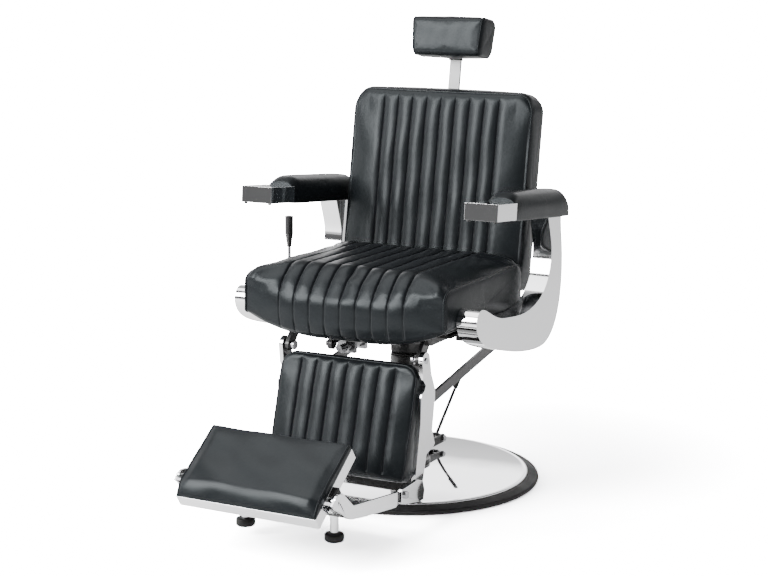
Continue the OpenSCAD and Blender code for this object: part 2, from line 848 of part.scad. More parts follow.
// Step plate between the side plates, with the lugs that reach back to the fold hinge
module step_plate() {
    color("gainsboro") difference() {
        union() {
            slab(-190, 190) polygon([[-439, 74.5], [-448, 73], [-606, 96], [-654, 105], [-675, 113],
                [-676, 118], [-655, 110], [-606, 101], [-439, 79.5]]);
            both_sides() slab(180, 188) {
                strut(foot_hinge, 12, [-452, 88], 10);
                polygon([[-441, 75], [-520, 86], [-520, 98], [-450, 98]]);
            }
        }
        both_sides() bar_x(170, 195, foot_hinge, 6 + run);
    }
}

// Two stems that stop the footrest at the floor, cut to the slope of the step plate
module footrest_pegs() {
    color("whitesmoke") both_sides() difference() {
        translate([peg_x, peg_y, 40]) {
            cylinder(h = 60, r = 9.5);
            translate([0, 0, 39]) cylinder(h = 21, r = 13);
        }
        slab(80, 150) polygon([[-448, 73], [-606, 96], [-654, 105], [-654, 140], [-448, 140]]);
    }
}

module peg_feet() {
    color("#111112") both_sides() translate([peg_x, peg_y, 0]) rotate_extrude() polygon([[0, 22],
        [19, 22], [21.5, 24.5], [22, 28], [22, 36], [20.5, 39], [18, 40], [0, 40]]);
}

module footrest_pins() {
    color("silver") both_sides() {
        bar_x(176, leg_x + 24, foot_hinge, 6);
        bar_x(leg_x + 20.1, leg_x + 25, foot_hinge, 9);
    }
}

// Footplate core
module footplate_board() {
    color("burlywood") plate_place() difference() {
        translate([-plate_w / 2 + 3, 3, -plate_t]) cube([plate_w - 6, plate_len - 3, plate_t]);
        translate([-plate_w / 2, flip_y, flip_z]) rotate([0, 90, 0]) cylinder(h = plate_w, r = 5 + run);
    }
}

// Chrome edge round the front and the sides of the footplate
module footplate_trim() {
    color("whitesmoke") plate_place() difference() {
        translate([-plate_w / 2, 0, -plate_t]) cube([plate_w, plate_len, plate_t]);
        translate([-plate_w / 2 + 2.9, 2.9, -plate_t - 1]) cube([plate_w - 5.8, plate_len, plate_t + 2]);
        translate([-plate_w, flip_y, flip_z]) rotate([0, 90, 0]) cylinder(h = 2 * plate_w, r = 5 + run);
    }
}

module footplate_cushion() {
    w = plate_w / 2;
    steps = [w, w - 1, w - 4, w - 10, w - 22, w * 0.6, w * 0.3];
    color("#232629") plate_place() loft([for (x = concat([for (s = steps) -s], [0],
        [for (i = [6 : -1 : 0]) steps[i]])) let (
        e = drawn(x, w, 9),
        swell = 1 - pow(x / w, 4))
        [for (p = outline(0.5 + e, plate_len - e / 2, 0.2, 13 - e, 5.6 - e / 2, 0, 9 * swell))
            [x, p[0], p[1]]]]);
}

// Stub pins in the board that turn in the ears, with a cap nut at the sitter's right
module footplate_pivots() {
    color("silver") union() {
        difference() {
            bar_x(140, 196, flip_hinge, 5);
            bar_x(189, 197, flip_hinge, 2.8);
        }
        bar_x(-203, -140, flip_hinge, 5);
        bar_x(-205, -196.2, flip_hinge, 9);
    }
}

module footplate_bushes() {
    color("whitesmoke") both_sides() difference() {
        bar_x(plate_w / 2 + 0.1, 189.6, flip_hinge, 9);
        bar_x(plate_w / 2 - 1, 191, flip_hinge, 5 + run);
    }
}

// Rubber buffers beside the footplate's pivots
module flip_stops() {
    color("#101011") plate_place() both_sides() translate([plate_w / 2 + 0.05, 74, -22]) cube([12, 20, 17]);
}

base_plate();
base_cover();
base_rim();
pump_housing();
pump_gland();
flange_bolts();
pedal_bracket();
pedal_shaft();
return_spring();
pump_pedal();
pedal_rubber();
piston_rod();
thrust_washer();
swivel_hub();
seat_rails();
front_rails();
main_cross_member();
front_cross_member();
seat_board();
seat_cushion();
arm_frame_left();
arm_frame_right();
arm_spacers();
arm_bolts();
arm_block_left();
arm_block_right();
block_screws();
arm_pad_left();
arm_pad_right();
hinge_pins();
lock_cylinder();
lock_rod();
release_lever();
lever_grip();
back_frame();
back_shell();
back_cushion();
headrest_socket();
headrest_post();
headrest_collar();
headrest_cushion();
legrest_arm_left();
legrest_arm_right();
legrest_bars();
calf_board();
calf_cushion();
footrest_hinges();
link_bars();
footrest_side_left();
footrest_side_right();
step_plate();
footrest_pegs();
peg_feet();
footrest_pins();
footplate_board();
footplate_trim();
footplate_cushion();
footplate_pivots();
footplate_bushes();
flip_stops();
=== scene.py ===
"""A hydraulic barber chair in black faux leather and chrome, in metres.

Origin at the centre of the base on the floor, +Z up, the chair faces -Y, +X is the sitter's left.
"""
import math
import bpy
import numpy as np
from mathutils import Matrix


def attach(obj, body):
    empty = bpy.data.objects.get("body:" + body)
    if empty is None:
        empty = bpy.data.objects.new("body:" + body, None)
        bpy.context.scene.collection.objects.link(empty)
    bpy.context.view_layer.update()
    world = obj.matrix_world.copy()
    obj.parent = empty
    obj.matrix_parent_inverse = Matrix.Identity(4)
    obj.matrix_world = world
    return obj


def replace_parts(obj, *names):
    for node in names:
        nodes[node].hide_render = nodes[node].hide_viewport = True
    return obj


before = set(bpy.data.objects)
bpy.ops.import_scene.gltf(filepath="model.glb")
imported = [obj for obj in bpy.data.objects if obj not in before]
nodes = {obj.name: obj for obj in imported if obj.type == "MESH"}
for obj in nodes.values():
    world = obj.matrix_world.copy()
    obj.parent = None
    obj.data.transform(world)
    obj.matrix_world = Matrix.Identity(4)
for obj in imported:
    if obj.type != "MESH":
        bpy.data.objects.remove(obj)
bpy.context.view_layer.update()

# ---------------------------------------------------------------- camera
# Stands to the sitter's left of the front at about armrest height, looks slightly down, and leans
# by half a degree.


def stood(side, up, out, place):
    """A 4 x 4 matrix whose columns are three directions and a place."""
    turn = np.eye(4)
    turn[:3, 0], turn[:3, 1], turn[:3, 2], turn[:3, 3] = side, up, out, place
    return turn


yaw, pitch, roll = math.radians(27.06), math.radians(10.74), math.radians(0.451)
ahead = np.array([-math.sin(yaw) * math.cos(pitch), math.cos(yaw) * math.cos(pitch),
                  -math.sin(pitch)])
level = np.array([math.cos(yaw), math.sin(yaw), 0.0])
upward = np.cross(level, ahead)
across = level * math.cos(roll) + upward * math.sin(roll)
upright = upward * math.cos(roll) - level * math.sin(roll)
camera_place = (1.8456, -3.743, 1.267)
camera = bpy.data.objects.new("camera", bpy.data.cameras.new("camera"))
camera.data.lens = 81.17
camera.data.sensor_width = 36.0
camera.matrix_world = Matrix(stood(across, upright, -ahead, camera_place).tolist())
bpy.context.scene.collection.objects.link(camera)
bpy.context.scene.camera = camera

# ---------------------------------------------------------------- floor and light
# White paper fades into a white backdrop. Soft panels stand ahead on the -X side and beside the
# chair, and one hangs above. The room has a bright band some 20 degrees up and is darker ahead of
# the chair and on the +X side, so that polished faces turned there look grey.
plain_white = 30.0


def add_node(holder, kind, values=None, **settings):
    """Adds one shader node to a material or the world, sets its options and its named or numbered
    inputs, and returns it."""
    node = holder.node_tree.nodes.new(kind)
    for key, value in settings.items():
        setattr(node, key, value)
    for key, value in (values or {}).items():
        node.inputs[key].default_value = value
    return node


def new_finish(name, values):
    """A material whose principled shader has these plain inputs, as (material, shader, link)."""
    material = bpy.data.materials.new(name)
    material.use_nodes = True
    shader = next(n for n in material.node_tree.nodes if n.type == "BSDF_PRINCIPLED")
    for key, value in values.items():
        shader.inputs[key].default_value = value
    return material, shader, material.node_tree.links.new


def speckle(finish, scale, detail, **more):
    """A noise texture fixed to the piece, by its output."""
    material, _, link = finish
    texture = add_node(material, "ShaderNodeTexNoise", {"Scale": scale, "Detail": detail, **more})
    link(add_node(material, "ShaderNodeTexCoord").outputs["Object"], texture.inputs["Vector"])
    return texture.outputs["Fac"]


def seen_apart(holder, lit, seen):
    """Ends a material or the world: the camera meets the shader seen, and other rays meet lit."""
    link = holder.node_tree.links.new
    rays = add_node(holder, "ShaderNodeLightPath")
    choose = add_node(holder, "ShaderNodeMixShader")
    output = next(n for n in holder.node_tree.nodes if n.type.startswith("OUTPUT"))
    link(rays.outputs["Is Camera Ray"], choose.inputs[0])
    link(lit, choose.inputs[1])
    link(seen, choose.inputs[2])
    link(choose.outputs[0], output.inputs[0])


def floor_finish():
    """White paper with a very faint mottle, a little darker far ahead of the chair. The camera sees
    it grow brighter away from the chair until it is plain white."""
    finish = new_finish("floor_white", {"Emission Strength": 0.5, "Roughness": 0.9,
                                        "Specular IOR Level": 0.1})
    material, shader, link = finish
    place = add_node(material, "ShaderNodeTexCoord").outputs["Object"]
    split = add_node(material, "ShaderNodeSeparateXYZ")
    tint = add_node(material, "ShaderNodeMapRange", {3: 0.90, 4: 0.93})
    darker = add_node(material, "ShaderNodeMapRange", {1: -2.1, 2: -1.5, 3: 0.85, 4: 1.0})
    paper = add_node(material, "ShaderNodeMath", operation="MULTIPLY")
    link(place, split.inputs[0])
    link(speckle(finish, 3.0, 2.0), tint.inputs[0])
    link(split.outputs["Y"], darker.inputs[0])
    link(tint.outputs[0], paper.inputs[0])
    link(darker.outputs[0], paper.inputs[1])
    link(paper.outputs[0], shader.inputs["Base Color"])
    link(paper.outputs[0], shader.inputs["Emission Color"])
    near = add_node(material, "ShaderNodeBsdfDiffuse", {"Color": (14.0, 14.0, 14.1, 1)})
    far = add_node(material, "ShaderNodeEmission", {"Strength": plain_white})
    distance = add_node(material, "ShaderNodeVectorMath", operation="LENGTH")
    fade = add_node(material, "ShaderNodeMapRange", {1: 0.55, 2: 1.6},
                    interpolation_type="SMOOTHSTEP")
    seen = add_node(material, "ShaderNodeMixShader")
    link(place, distance.inputs[0])
    link(distance.outputs["Value"], fade.inputs[0])
    link(fade.outputs[0], seen.inputs[0])
    link(near.outputs[0], seen.inputs[1])
    link(far.outputs[0], seen.inputs[2])
    seen_apart(material, shader.outputs[0], seen.outputs[0])
    return material


floor_mesh = bpy.data.meshes.new("floor")
floor_mesh.from_pydata([(-20, -9, 0), (20, -9, 0), (20, 40, 0), (-20, 40, 0)], [], [(0, 1, 2, 3)])
floor = bpy.data.objects.new("floor", floor_mesh)
floor.data.materials.append(floor_finish())
bpy.context.scene.collection.objects.link(floor)


def light_panel(name, place, aim, size, power):
    """A rectangular soft light at place that faces aim, with its width level."""
    lamp = bpy.data.lights.new(name, "AREA")
    lamp.shape, lamp.size, lamp.size_y, lamp.energy = "RECTANGLE", size[0], size[1], power
    holder = bpy.data.objects.new(name, lamp)
    away = (np.array(place, float) - np.array(aim, float))
    away /= np.linalg.norm(away)
    side = np.cross((0.0, 0.001, 1.0), away)
    side /= np.linalg.norm(side)
    holder.matrix_world = Matrix(stood(side, np.cross(away, side), away, place).tolist())
    bpy.context.scene.collection.objects.link(holder)


light_panel("light_front", (-1.5, -2.7, 2.12), (0, 0.1, 0.8), (1.4, 2.2), 175)
light_panel("light_above", (-1.0, -0.6, 3.1), (0, 0, 0.4), (2.0, 2.0), 42)
light_panel("light_left", (-3.4, -1.3, 1.3), (0, 0, 0.6), (2.0, 2.2), 40)

world = bpy.data.worlds.new("room")
world.use_nodes = True
bpy.context.scene.world = world
world.node_tree.nodes.clear()
add_node(world, "ShaderNodeOutputWorld")
sky_link = world.node_tree.links.new
sky_split = add_node(world, "ShaderNodeSeparateXYZ")
sky_link(add_node(world, "ShaderNodeTexCoord").outputs["Generated"], sky_split.inputs[0])
by_height = add_node(world, "ShaderNodeValToRGB")
ramp = by_height.color_ramp.elements
ramp[0].position, ramp[0].color = 0.0, (0.62, 0.62, 0.62, 1)
ramp[1].position, ramp[1].color = 1.0, (0.5, 0.5, 0.5, 1)
for position, tone in ((0.47, 0.8), (0.53, 0.6), (0.62, 0.9), (0.655, 2.6), (0.72, 2.6),
                       (0.80, 0.4)):
    ramp.new(position).color = (tone, tone, tone * 1.01, 1)
height = add_node(world, "ShaderNodeMapRange", {1: -1.0, 2: 1.0})
darker_ahead = add_node(world, "ShaderNodeMapRange", {1: -0.7, 2: 0.4, 3: 0.2, 4: 1.3})
darker_beside = add_node(world, "ShaderNodeMapRange", {1: -0.2, 2: 0.04, 3: 1.0, 4: 0.42})
both = add_node(world, "ShaderNodeMath", operation="MULTIPLY")
shade = add_node(world, "ShaderNodeMix", {0: 1.0}, data_type="RGBA", blend_type="MULTIPLY")
room = add_node(world, "ShaderNodeBackground", {1: 1.0})
plain = add_node(world, "ShaderNodeBackground", {0: (1, 1, 1, 1), 1: plain_white})
sky_link(sky_split.outputs["Z"], height.inputs[0])
sky_link(height.outputs[0], by_height.inputs[0])
sky_link(sky_split.outputs["Y"], darker_ahead.inputs[0])
sky_link(sky_split.outputs["X"], darker_beside.inputs[0])
sky_link(darker_ahead.outputs[0], both.inputs[0])
sky_link(darker_beside.outputs[0], both.inputs[1])
sky_link(by_height.outputs[0], shade.inputs[6])
sky_link(both.outputs[0], shade.inputs[7])
sky_link(shade.outputs[2], room.inputs[0])
seen_apart(world, room.outputs[0], plain.outputs[0])

# ---------------------------------------------------------------- base plate and cover
# A steel plate under a thin dome of polished, chromed steel. The dome is spun, with a rolled bead
# where it meets the rubber rim.


def gloss_drifts(finish, value, rough, top=0.7):
    """Roughness goes from rough[0] to rough[1] as value goes from 0.3 to top."""
    material, shader, link = finish
    gloss = add_node(material, "ShaderNodeMapRange", {1: 0.3, 2: top, 3: rough[0], 4: rough[1]})
    link(value, gloss.inputs[0])
    link(gloss.outputs[0], shader.inputs["Roughness"])


def relief(finish, height, strength, distance, over=None):
    """Bends the light as a relief of that height would, laid over another relief where one is
    given. Returns its output."""
    material, shader, link = finish
    bend = add_node(material, "ShaderNodeBump", {"Strength": strength, "Distance": distance})
    link(height, bend.inputs["Height"])
    if over is not None:
        link(over, bend.inputs["Normal"])
    link(bend.outputs[0], shader.inputs["Normal"])
    return bend.outputs[0]


def two_tones(finish, value, dark, light):
    """The colour goes from dark to light as value goes from 0 to 1."""
    material, shader, link = finish
    shades = add_node(material, "ShaderNodeMix", {6: (*dark, 1), 7: (*light, 1)}, data_type="RGBA")
    link(value, shades.inputs[0])
    link(shades.outputs[2], shader.inputs["Base Color"])


def polished_chrome(name="polished_chrome", rough=(0.03, 0.08), tone=0.95):
    """Mirror chrome: roughness drifts over the surface, and faint polishing waves bend it."""
    finish = new_finish(name, {"Metallic": 1.0,
                               "Base Color": (tone, tone * 1.005, tone * 1.015, 1)})
    gloss_drifts(finish, speckle(finish, 7.0, 5.0, Roughness=0.6), rough, 0.75)
    relief(finish, speckle(finish, 9.0, 1.0), 0.06, 0.01)
    return finish[0]


def painted_steel(name, tone, rough=(0.3, 0.45)):
    """Black enamel: fine orange peel, and roughness that changes in patches."""
    finish = new_finish(name, {"Coat Weight": 0.3})
    patch = speckle(finish, 14.0, 6.0)
    gloss_drifts(finish, patch, rough)
    two_tones(finish, patch, (tone * 0.8, tone * 0.8, tone * 0.84),
              (tone * 1.2, tone * 1.2, tone * 1.24))
    relief(finish, speckle(finish, 420.0, 2.0), 0.12, 0.0006)
    return finish[0]


def signed_volume(points, quads):
    """Six times the volume that the faces enclose, positive where they face outwards."""
    a, b, c, d = (points[quads[:, k]] for k in range(4))
    out = a - points.mean(0)
    return (np.cross(b - a, c - a) * out).sum() + (np.cross(c - a, d - a) * out).sum()


def lay_skin(name, rings, material, body, ends=True):
    """Makes a closed mesh through rings of points, an array (ring, point, 3). The rings wrap round,
    and each end closes on the mean of its last ring. The piece rides on body."""
    count, around = rings.shape[:2]
    points = rings.reshape(-1, 3)
    ring, step = np.meshgrid(np.arange(count - 1), np.arange(around), indexing="ij")
    after = (step + 1) % around
    quads = np.stack([ring * around + step, ring * around + after,
                      (ring + 1) * around + after, (ring + 1) * around + step], -1).reshape(-1, 4)
    faces = quads.tolist()
    if ends:
        tail = len(points)
        points = np.vstack([points, rings[0].mean(0), rings[-1].mean(0)])
        here = np.arange(around)
        there = (here + 1) % around
        faces += np.stack([there, here, np.full(around, tail)], -1).tolist()
        last = (count - 1) * around
        faces += np.stack([last + here, last + there, np.full(around, tail + 1)], -1).tolist()
    mesh = bpy.data.meshes.new(name)
    mesh.from_pydata(points.tolist(), [], faces)
    if mesh.polygons and signed_volume(points, quads) < 0:
        mesh.flip_normals()
    mesh.polygons.foreach_set("use_smooth", np.ones(len(mesh.polygons), bool))
    mesh.update()
    piece = bpy.data.objects.new(name, mesh)
    bpy.context.scene.collection.objects.link(piece)
    mesh.materials.append(material)
    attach(piece, body)
    return piece


def spun(name, profile, around, material, body, place=None):
    """Carries a closed profile of (radius, height) once round the z axis: x = r cos a, y = r sin a.
    place is a 4 x 4 matrix that then sets the piece in the frame."""
    profile = np.array(profile, float)
    angle = np.linspace(0, 2 * np.pi, around, endpoint=False)[:, None]
    r, z = profile[None, :, 0], profile[None, :, 1]
    rings = np.stack([r * np.cos(angle), r * np.sin(angle), z + 0 * angle], -1)
    rings = np.concatenate([rings, rings[:1]])
    if place is not None:
        rings = rings @ place[:3, :3].T + place[:3, 3]
    piece = lay_skin(name, rings, material, body, ends=False)
    piece.modifiers.new("weld", "WELD").merge_threshold = 1e-6
    return piece


def rounding(centre_r, centre_z, r, rise, start, end, points):
    """Points (radius, height) on an ellipse with the half axes r and rise, from start to end
    degrees."""
    angle = np.linspace(start, end, points) * np.pi / 180
    return np.column_stack([centre_r + r * np.cos(angle), centre_z + rise * np.sin(angle)])


def crisp(name, material, width=0.0008, angle=30):
    """Finishes a made steel part: joins its faces, softens the edges that turn by more than angle
    degrees by width, and sets its material."""
    part = nodes[name]
    part.data.materials.clear()
    part.data.materials.append(material)
    if "custom_normal" in part.data.attributes:
        part.data.attributes.remove(part.data.attributes["custom_normal"])
    part.data.polygons.foreach_set("use_smooth", np.ones(len(part.data.polygons), bool))
    part.modifiers.new("weld", "WELD").merge_threshold = 2e-6
    soften = part.modifiers.new("soften", "BEVEL")
    soften.width, soften.segments, soften.limit_method = width, 2, "ANGLE"
    soften.angle_limit = math.radians(angle)
    soften.harden_normals = True


chrome = polished_chrome()
black_enamel = painted_steel("black_enamel", 0.018)
crisp("base_plate", painted_steel("plate_enamel", 0.03))

# The dome's height falls as the square of its radius, and its sheet is 2 mm thick.
cover_sheet = 0.002
dome_r = np.linspace(0.046, 0.2955, 40)
dome_z = 0.023 + 0.0155 * (1 - (dome_r / 0.292) ** 2)
cover = spun("dome_cover", np.vstack([
    np.column_stack([dome_r, dome_z]),
    rounding(0.2985, 0.0195, 0.0042, 0.0036, 100, -60, 14),
    np.column_stack([dome_r[::-1], dome_z[::-1] - cover_sheet])]),
    192, polished_chrome("dome_chrome", (0.02, 0.05), 0.97), "base")
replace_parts(cover, "base_cover")

# ---------------------------------------------------------------- base rim
# A moulded rubber ring that grips the plate's edge and stands on the floor. Its outer face is
# rounded and its top slopes up to the bead.


def moulded_rubber(name, tone, rough=(0.45, 0.62)):
    """Rubber: nearly black, a little lighter where the mottle is high, with a fine grain."""
    finish = new_finish(name, {"Specular IOR Level": 0.3})
    patch = speckle(finish, 22.0, 5.0)
    gloss_drifts(finish, patch, rough)
    two_tones(finish, patch, (tone * 0.8, tone * 0.81, tone * 0.83),
              (tone * 1.25, tone * 1.25, tone * 1.28))
    relief(finish, speckle(finish, 900.0, 1.0), 0.25, 0.0004)
    return finish[0]


rim = spun("rubber_rim", np.vstack([
    [(0.2885, 0.0002), (0.322, 0.0002)],
    rounding(0.3242, 0.0072, 0.0058, 0.0066, -70, 75, 16),
    [(0.3195, 0.0152), (0.3125, 0.0178), (0.3062, 0.0192), (0.3032, 0.0188), (0.3024, 0.0160),
     (0.3024, 0.0015), (0.2885, 0.0015)]]),
    192, moulded_rubber("rim_rubber", 0.022, (0.5, 0.65)), "base")
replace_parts(rim, "base_rim")

# ---------------------------------------------------------------- pump column
# A welded steel housing in black enamel stands on a bolted foot flange. A sealed guide at its top
# leads the ground steel piston, which carries the seat on a washer.
crisp("pump_housing", black_enamel, 0.0012)
crisp("pump_gland", moulded_rubber("gland_black", 0.02), 0.0008)


def plated_steel(name, tone=0.55, rough=(0.18, 0.34)):
    """Zinc-plated or turned steel: fine tool marks and cloudy patches."""
    finish = new_finish(name, {"Metallic": 1.0, "Base Color": (tone, tone, tone * 1.03, 1)})
    gloss_drifts(finish, speckle(finish, 60.0, 6.0), rough)
    relief(finish, speckle(finish, 700.0, 2.0), 0.15, 0.0003)
    return finish[0]


zinc = plated_steel("zinc_plate")
crisp("flange_bolts", zinc, 0.0006)
crisp("pedal_bracket", black_enamel, 0.0008)
crisp("pedal_shaft", zinc, 0.0006)
crisp("piston_rod", plated_steel("ground_steel", 0.72, (0.08, 0.16)), 0.0008)
crisp("thrust_washer", moulded_rubber("washer_black", 0.02, (0.3, 0.4)), 0.0003)

# ---------------------------------------------------------------- pedal
# A steel rod welded to a hub on the shaft, lifted by a coil spring. It leans to the sitter's left
# and ends in a ribbed rubber sleeve.


def carried(name, profile, path, material, body, closed=False):
    """Carries a closed profile of (across, up) points along a path of points. Each ring stands
    square to the path, and its up direction turns no more than the path does."""
    path = np.array(path, float)
    profile = np.array(profile, float)
    if closed:
        along = np.roll(path, -1, 0) - np.roll(path, 1, 0)
    else:
        along = np.gradient(path, axis=0)
    along /= np.linalg.norm(along, axis=1)[:, None]
    rings = []
    up = np.cross(along[0], (0.0, 0.0, 1.0) if abs(along[0][2]) < 0.8 else (1.0, 0.0, 0.0))
    for point, way in zip(path, along):
        up = up - way * (up @ way)
        up /= np.linalg.norm(up)
        rings.append(point + profile[:, :1] * np.cross(way, up) + profile[:, 1:] * up)
    rings = np.array(rings)
    if closed:
        rings = np.concatenate([rings, rings[:1]])
    piece = lay_skin(name, rings, material, body, ends=not closed)
    if closed:
        piece.modifiers.new("weld", "WELD").merge_threshold = 1e-6
    return piece


def wire_section(radius, sides=12):
    """A circle of the given radius."""
    angle = np.linspace(0, 2 * np.pi, sides, endpoint=False)
    return np.column_stack([radius * np.cos(angle), radius * np.sin(angle)])


def ribbed(share, radius, depth, ribs, edge):
    """Radii along a sleeve: a sine wave for each rib, cut off at depth so that its crests are
    flat. edge says how steep the ribs' sides are."""
    return radius + depth * np.clip(np.sin(2 * np.pi * ribs * share) * edge, -1, 1)


crisp("pump_pedal", black_enamel, 0.0008)
hub_x, hub_y, hub_z = -0.0017, 0.172, 0.056
coil_r = 0.009
turns = np.linspace(0, 3.0 * 2 * np.pi, 140)
coil_path = np.column_stack([0.0066 + 0.0081 * turns / turns[-1],
                             hub_y + coil_r * np.cos(turns), hub_z + coil_r * np.sin(turns)])
coil = carried("return_coil", wire_section(0.001), coil_path, plated_steel("spring_steel", 0.2),
               "base")
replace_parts(coil, "return_spring")

# The sleeve is spun upright and laid round the rod, which climbs to the rear at 60 degrees and
# leans to the sitter's left by 10.
rise, lean = math.radians(60.3), math.radians(9.6)
pedal_turn = stood(
    (math.cos(lean), -math.sin(lean) * math.cos(rise), -math.sin(lean) * math.sin(rise)),
    (0.0, math.sin(rise), -math.cos(rise)),
    (math.sin(lean), math.cos(lean) * math.cos(rise), math.cos(lean) * math.sin(rise)),
    (hub_x, hub_y, hub_z))
rib = np.linspace(0, 1, 101)
sleeve = spun("pedal_sleeve", np.vstack([
    [(0.0041, 0.1381), (0.0055, 0.1380)],
    np.column_stack([ribbed(rib, 0.00595, 0.0004, 10, 2.5), 0.1385 + 0.060 * rib]),
    rounding(0, 0.2005, 0.0060, 0.0042, 0, 85, 8),
    [(0.0001, 0.2047), (0.0001, 0.2002), (0.0041, 0.2001)]]),
    40, moulded_rubber("pedal_rubber", 0.022), "pedal", pedal_turn)
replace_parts(sleeve, "pedal_rubber")

# ---------------------------------------------------------------- hub and seat frame
# Welded bar and plate in black enamel. The hub turns on the piston and is gusseted to its plate,
# and the rails under the seat board are bolted to cross members between the arm castings.
for part in ("swivel_hub", "seat_rails", "front_rails", "main_cross_member", "front_cross_member"):
    crisp(part, black_enamel, 0.001)

# ---------------------------------------------------------------- seat board
# Plywood under the cushion, stained black, which rests on the rails and carries the foam. The
# boards of the leg rest and the footplate are made of the same sheet.


def stained_board(name):
    """Black stain on plywood: grain along x as faint streaks and a rough surface."""
    finish = new_finish(name, {"Roughness": 0.6, "Specular IOR Level": 0.2})
    material, shader, link = finish
    place = add_node(material, "ShaderNodeTexCoord")
    stretch = add_node(material, "ShaderNodeMapping", {"Scale": (4.0, 60.0, 60.0)})
    grain = add_node(material, "ShaderNodeTexNoise",
                     {"Scale": 2.0, "Detail": 8.0, "Distortion": 0.6})
    shades = add_node(material, "ShaderNodeValToRGB")
    shades.color_ramp.elements[0].color = (0.004, 0.0038, 0.0036, 1)
    shades.color_ramp.elements[1].color = (0.009, 0.0085, 0.008, 1)
    link(place.outputs["Object"], stretch.inputs["Vector"])
    link(stretch.outputs[0], grain.inputs["Vector"])
    link(grain.outputs["Fac"], shades.inputs[0])
    link(shades.outputs[0], shader.inputs["Base Color"])
    relief(finish, grain.outputs["Fac"], 0.3, 0.0005)
    return material


board_black = stained_board("board_black")
crisp("seat_board", board_black, 0.001)

# ---------------------------------------------------------------- seat cushion
# Foam on the board under black faux leather. Nine seams run over the top and down the front, the
# plain borders end in a piped edge, and flat boxing panels close the sides.


def faux_leather(name="black_faux_leather", rough=(0.28, 0.37)):
    """Coated fabric: blue-black, a pebbled grain of about a millimetre, soft creases and patches of
    wear where it shines more."""
    finish = new_finish(name, {"Specular IOR Level": 0.22, "Specular Tint": (0.9, 0.97, 1.0, 1)})
    material, _, link = finish
    wear = speckle(finish, 9.0, 6.0, Roughness=0.6)
    gloss_drifts(finish, wear, rough, 0.72)
    two_tones(finish, wear, (0.0062, 0.0074, 0.0086), (0.0105, 0.0124, 0.0144))
    creases = relief(finish, speckle(finish, 55.0, 5.0, Distortion=0.8), 0.10, 0.0025)
    pebble = add_node(material, "ShaderNodeTexVoronoi", {"Scale": 780.0}, feature="SMOOTH_F1")
    link(add_node(material, "ShaderNodeTexCoord").outputs["Object"], pebble.inputs["Vector"])
    relief(finish, pebble.outputs["Distance"], 0.22, 0.00035, creases)
    return material


leather = faux_leather()


def padded_loop(y0, y1, z0, z1, radii, counts):
    """Rings (station, point, 2) of a rectangle in y and z with four round corners. It runs from the
    rear along the bottom, up the front, back over the top and down the rear. Each value may change
    from station to station; radii are front-bottom, front-top, rear-top and rear-bottom, and counts
    are the points on the bottom, front, top, rear and on each corner."""
    values = [np.asarray(value, float).reshape(-1, 1) for value in (y0, y1, z0, z1, *radii)]
    stations = max(value.size for value in values)
    y0, y1, z0, z1, fb, ft, rt, rb = (np.broadcast_to(value, (stations, 1)) for value in values)
    pieces = []

    def straight(a, b, number):
        share = (np.arange(number) / number)[None, :]
        pieces.append(np.stack([a[0] + (b[0] - a[0]) * share, a[1] + (b[1] - a[1]) * share], -1))

    def corner(cy, cz, r, start, number):
        angle = np.radians(start - 90 * np.arange(number) / number)[None, :]
        pieces.append(np.stack([cy + r * np.cos(angle), cz + r * np.sin(angle)], -1))

    bottom, front, top, rear, bend = counts
    straight((y1 - rb, z0), (y0 + fb, z0), bottom)
    corner(y0 + fb, z0 + fb, fb, 270, bend)
    straight((y0, z0 + fb), (y0, z1 - ft), front)
    corner(y0 + ft, z1 - ft, ft, 180, bend)
    straight((y0 + ft, z1), (y1 - rt, z1), top)
    corner(y1 - rt, z1 - rt, rt, 90, bend)
    straight((y1, z1 - rt), (y1, z0 + rb), rear)
    corner(y1 - rb, z0 + rb, rb, 360, bend)
    return np.concatenate(pieces, 1)


# Each end of a pad has seven rings in its cap and six round its edge. The middle ring of the edge
# is held while the pad is blown up, and the next ring, counted in the finer mesh, gets the piping.
cap_rings, edge_rings = 7, 6
held_ring = cap_rings + 3
piping_ring = (held_ring + 1) * 3


def across_pad(half, edge, inner):
    """Stations from side to side of a pad, as (x, inset, share): a cap that grows from its middle,
    a round edge of the given radius, the stations inner, and the same again. inset is how far the
    ring draws in, and share shrinks it towards the middle of a cap."""
    grow = np.linspace(0.12, 1, cap_rings, endpoint=False)
    angle = np.linspace(0, 90, edge_rings, endpoint=False) * np.pi / 180
    x = np.concatenate([np.full(cap_rings, -half), -half + edge * (1 - np.cos(angle)), inner])
    inset = np.concatenate([np.full(cap_rings, edge), edge * (1 - np.sin(angle)),
                            np.zeros(len(inner))])
    share = np.concatenate([grow, np.ones(edge_rings + len(inner))])
    end = cap_rings + edge_rings
    return (np.concatenate([x, -x[:end][::-1]]), np.concatenate([inset, inset[:end][::-1]]),
            np.concatenate([share, share[:end][::-1]]))


def strung(x, loop):
    """Rings (station, point, 3) with the loop's y and z at the stations x."""
    return np.concatenate([np.broadcast_to(x[:, None, None], loop.shape[:2] + (1,)), loop], -1)


def capped(rings, share):
    """Shrinks each ring to its share of full size about its own middle, which closes the caps."""
    middle = rings.mean(1, keepdims=True)
    rings[..., 1:] = middle[..., 1:] + (rings[..., 1:] - middle[..., 1:]) * share[:, None, None]
    return rings


def edge_held(rings):
    """1 on the held ring at each end of a pad, and 0 on every other point."""
    held = np.zeros(rings.shape[:2])
    held[[held_ring, -held_ring - 1]] = 1
    return held


def draw_in(x, half, radius):
    """How far an edge falls at x: by a quarter circle of that radius, which ends at half."""
    share = np.clip((np.abs(x) - half + radius) / radius, 0, 1)
    return radius * (1 - np.sqrt(1 - share ** 2))


